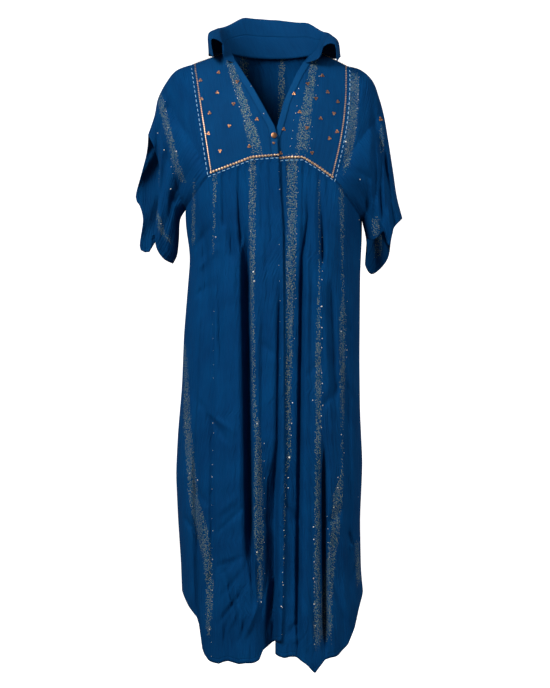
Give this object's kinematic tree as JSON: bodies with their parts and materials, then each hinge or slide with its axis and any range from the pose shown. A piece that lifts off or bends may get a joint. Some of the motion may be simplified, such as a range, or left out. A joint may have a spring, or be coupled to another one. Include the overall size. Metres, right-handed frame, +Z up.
{
  "type": "kaftan",
  "caption": "Long loose kaftan in thin woven cloth, worn and hollow: rolled collar, V neck, front yoke with gathers, wide half sleeves, open front and shirt-tail hem",
  "frame": {"origin": "between the shoulders at the base of the neck, where the wearer holds the garment up", "axes": "+Z up, -Y the front, +X towards the wearer's left"},
  "size_m": [0.5305, 0.2733, 1.3],
  "materials": {
    "cloth": "thin petrol-blue woven cloth with a soft sheen, fine crinkle and woven lurex stripes",
    "yoke_cloth": "the same cloth lying flat, with bead sprigs",
    "band_cloth": "the same cloth folded double and pressed",
    "collar_cloth": "the same cloth folded double, soft",
    "copper": "copper-coloured metal, lightly polished"
  },
  "bodies": {
    "root": {"front_right": "cloth", "front_left": "cloth", "back": "cloth", "yoke_right": "yoke_cloth", "yoke_left": "yoke_cloth", "band_right": "band_cloth", "band_left": "band_cloth", "collar_stand": "collar_cloth", "collar_fall": "collar_cloth", "button": "copper"}
  },
  "joints": []
}
